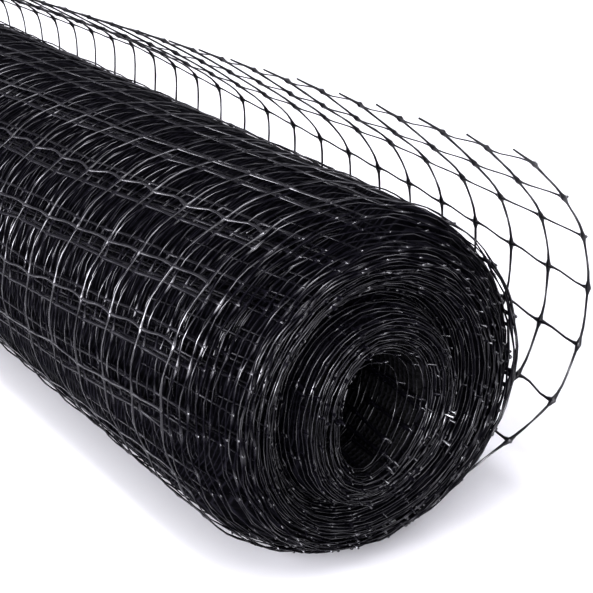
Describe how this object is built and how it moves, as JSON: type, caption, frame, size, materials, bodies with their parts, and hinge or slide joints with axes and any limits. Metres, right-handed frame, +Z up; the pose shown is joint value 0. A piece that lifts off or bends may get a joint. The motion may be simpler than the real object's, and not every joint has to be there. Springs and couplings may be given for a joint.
{
  "type": "roll of mole netting",
  "caption": "Roll of black plastic mesh netting lying on its side, wound hollow, with its loose end sprung open and curling over it.",
  "frame": {"origin": "on the small resting flat, under the middle of the roll", "axes": "+Y along the roll from its near end to its far end, +Z up, +X towards the side on which the loose end curls"},
  "size_m": [0.1315, 1.0394, 0.1209],
  "materials": {
    "wound_net": "black stretched plastic net, satin to gloss",
    "loose_net": "black stretched plastic net, satin to gloss"
  },
  "bodies": {
    "root": {"wound_roll": "wound_net", "loose_end": "loose_net"}
  },
  "joints": []
}
